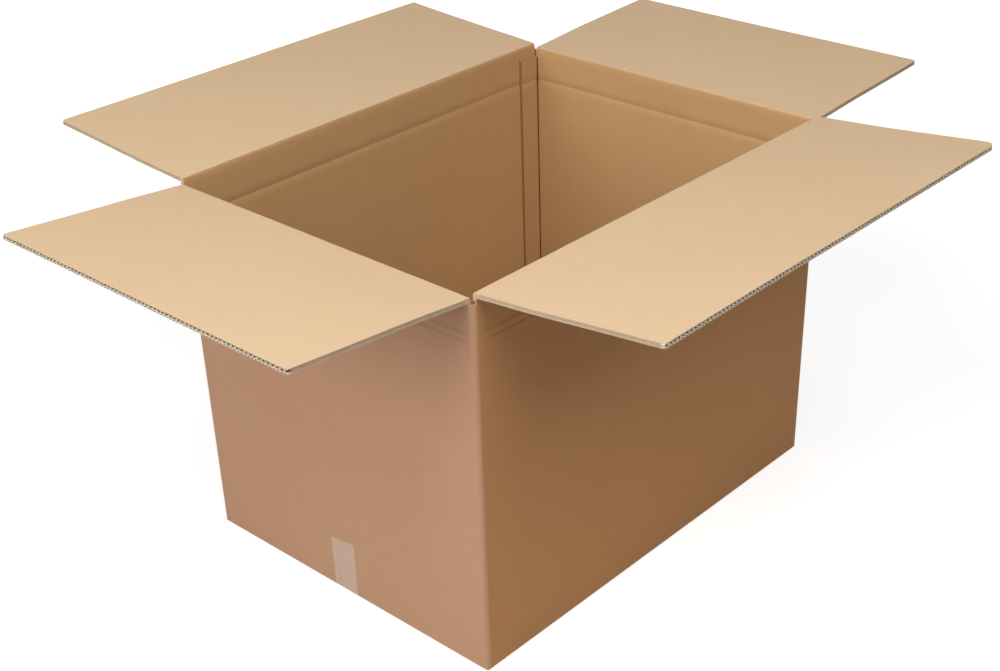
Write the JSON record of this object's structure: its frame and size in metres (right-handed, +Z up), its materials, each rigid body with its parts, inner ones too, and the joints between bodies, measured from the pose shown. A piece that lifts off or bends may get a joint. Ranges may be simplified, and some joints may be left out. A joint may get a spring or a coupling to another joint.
{
  "type": "open cardboard box",
  "caption": "Large brown corrugated shipping box standing open, with hinged top flaps swung out, a pressed height line, a glued corner and a taped bottom.",
  "frame": {"origin": "centre of the box's footprint, on the floor", "axes": "+X along the long walls, +Y towards the back wall, +Z up"},
  "size_m": [1.3948, 1.1939, 0.6422],
  "materials": {
    "board": "matte kraft liner",
    "tape": "matte"
  },
  "bodies": {
    "carton": {"box_body": "board", "seam_tape": "tape"},
    "front_flap": {"front_flap": "board"},
    "back_flap": {"back_flap": "board"},
    "left_flap": {"left_flap": "board"},
    "right_flap": {"right_flap": "board"}
  },
  "joints": [
    {"name": "front_crease", "type": "hinge", "parent": "carton", "child": "front_flap", "pos_m": [0, -0.3001, 0.604], "axis": [-1, 0, 0], "range_deg": [-86, 174]},
    {"name": "back_crease", "type": "hinge", "parent": "carton", "child": "back_flap", "pos_m": [0, 0.3001, 0.604], "axis": [1, 0, 0], "range_deg": [-84, 176]},
    {"name": "left_crease", "type": "hinge", "parent": "carton", "child": "left_flap", "pos_m": [-0.4001, 0, 0.5967], "axis": [0, 1, 0], "range_deg": [-85, 175]},
    {"name": "right_crease", "type": "hinge", "parent": "carton", "child": "right_flap", "pos_m": [0.4001, 0, 0.5967], "axis": [0, -1, 0], "range_deg": [-82.5, 177.5]}
  ]
}
